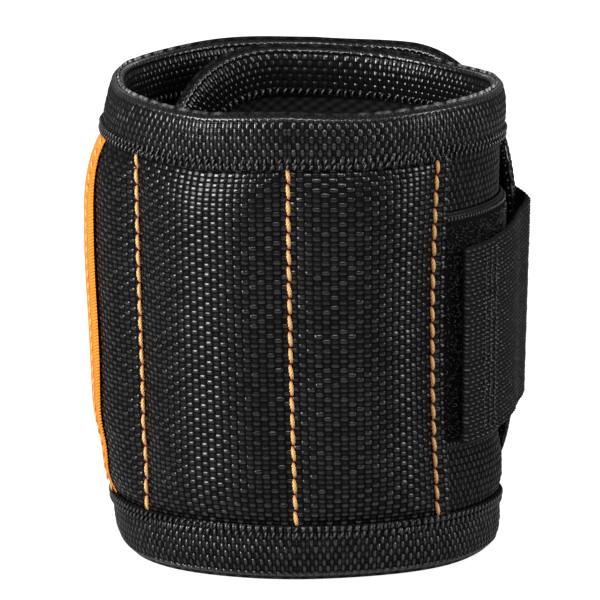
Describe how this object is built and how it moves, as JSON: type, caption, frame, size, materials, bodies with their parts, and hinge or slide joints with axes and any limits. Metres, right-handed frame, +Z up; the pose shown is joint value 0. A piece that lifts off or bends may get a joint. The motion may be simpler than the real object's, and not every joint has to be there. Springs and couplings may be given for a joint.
{
  "type": "magnetic wristband",
  "caption": "Padded fabric wristband with magnets sewn into its channels to hold screws and nails, closed round the wrist by a hook-and-loop strap.",
  "frame": {"origin": "under the middle of the band's box, on the surface that its lower edge stands on", "axes": "+Z up through the wrist opening, -Y out of the front panel, +X to the right as seen from the front"},
  "size_m": [0.0844, 0.0842, 0.09],
  "materials": {
    "ballistic_nylon": "coarse glossy basket weave",
    "oxford_cloth": "plain weave",
    "lining_mesh": "soft spacer mesh",
    "edge_binding": "ribbed woven tape",
    "accent_cloth": "fine orange twill",
    "foam": "soft cellular",
    "magnet": "plated",
    "loop_pile": "fuzzy loop pile",
    "strap_webbing": "ribbed webbing",
    "hook_tape": "stiff moulded hooks"
  },
  "bodies": {
    "front": {"front_panel": "ballistic_nylon", "front_lining": "lining_mesh", "front_binding_top": "edge_binding", "front_binding_bottom": "edge_binding", "front_right_foam": "foam", "front_right_magnet_top": "magnet", "front_right_magnet_middle": "magnet", "front_right_magnet_bottom": "magnet", "front_left_foam": "foam", "front_left_magnet_top": "magnet", "front_left_magnet_middle": "magnet", "front_left_magnet_bottom": "magnet"},
    "left_flank": {"left_flank_panel": "ballistic_nylon", "left_flank_lining": "lining_mesh", "left_flank_binding_top": "edge_binding", "left_flank_binding_bottom": "edge_binding", "left_flank_foam": "foam", "left_flank_magnet_top": "magnet", "left_flank_magnet_middle": "magnet", "left_flank_magnet_bottom": "magnet", "accent_strip": "accent_cloth"},
    "back_inner": {"back_inner_panel": "ballistic_nylon", "back_inner_lining": "lining_mesh", "back_inner_binding_top": "edge_binding", "back_inner_binding_bottom": "edge_binding", "back_inner_foam": "foam", "back_inner_magnet_top": "magnet", "back_inner_magnet_middle": "magnet", "back_inner_magnet_bottom": "magnet"},
    "back_outer": {"back_outer_panel": "ballistic_nylon", "back_outer_lining": "lining_mesh", "back_outer_binding_top": "edge_binding", "back_outer_binding_bottom": "edge_binding", "back_outer_foam": "foam", "back_outer_magnet_top": "magnet", "back_outer_magnet_middle": "magnet", "back_outer_magnet_bottom": "magnet"},
    "outer_end": {"outer_end_cover": "oxford_cloth", "outer_end_lining": "lining_mesh", "outer_end_binding": "edge_binding", "strap_root": "strap_webbing"},
    "strap": {"strap_webbing": "strap_webbing", "hook_pad": "hook_tape"},
    "right_flank": {"right_flank_cover": "oxford_cloth", "right_flank_lining": "lining_mesh", "right_flank_binding_top": "edge_binding", "right_flank_binding_bottom": "edge_binding", "loop_patch": "loop_pile"},
    "tongue_root": {"tongue_root_cover": "oxford_cloth", "tongue_root_lining": "lining_mesh", "tongue_root_binding_top": "edge_binding", "tongue_root_binding_bottom": "edge_binding"},
    "tongue_tip": {"tongue_tip_cover": "oxford_cloth", "tongue_tip_lining": "lining_mesh", "tongue_tip_binding": "edge_binding"}
  },
  "joints": [
    {"name": "left_fold", "type": "hinge", "parent": "front", "child": "left_flank", "pos_m": [-0.03295, -0.02437, 0.045], "axis": [0, 0, 1], "range_deg": [0, 80]},
    {"name": "back_fold", "type": "hinge", "parent": "left_flank", "child": "back_inner", "pos_m": [-0.03232, 0.02267, 0.045], "axis": [0, 0, 1], "range_deg": [0, 52]},
    {"name": "mid_back_fold", "type": "hinge", "parent": "back_inner", "child": "back_outer", "pos_m": [-0.00987, 0.03968, 0.045], "axis": [0, 0, 1], "range_deg": [0, 38.4]},
    {"name": "end_fold", "type": "hinge", "parent": "back_outer", "child": "outer_end", "pos_m": [0.01796, 0.03713, 0.045], "axis": [0, 0, 1], "range_deg": [0, 43.2]},
    {"name": "strap_peel", "type": "hinge", "parent": "outer_end", "child": "strap", "pos_m": [0.04183, 0.01007, 0.045], "axis": [0, 0, 1], "range_deg": [0, 150]},
    {"name": "right_fold", "type": "hinge", "parent": "front", "child": "right_flank", "pos_m": [0.02665, -0.0302, 0.045], "axis": [0, 0, -1], "range_deg": [0, 56]},
    {"name": "tongue_fold", "type": "hinge", "parent": "right_flank", "child": "tongue_root", "pos_m": [0.03667, 0.00595, 0.045], "axis": [0, 0, -1], "range_deg": [0, 48]},
    {"name": "tip_fold", "type": "hinge", "parent": "tongue_root", "child": "tongue_tip", "pos_m": [0.00822, 0.03041, 0.045], "axis": [0, 0, -1], "range_deg": [0, 48]}
  ],
  "couplings": [
    {"joint": "back_fold", "follows": "left_fold", "ratio": 0.65},
    {"joint": "mid_back_fold", "follows": "left_fold", "ratio": 0.48},
    {"joint": "end_fold", "follows": "left_fold", "ratio": 0.54},
    {"joint": "right_fold", "follows": "left_fold", "ratio": 0.7},
    {"joint": "tongue_fold", "follows": "left_fold", "ratio": 0.6},
    {"joint": "tip_fold", "follows": "left_fold", "ratio": 0.6}
  ]
}
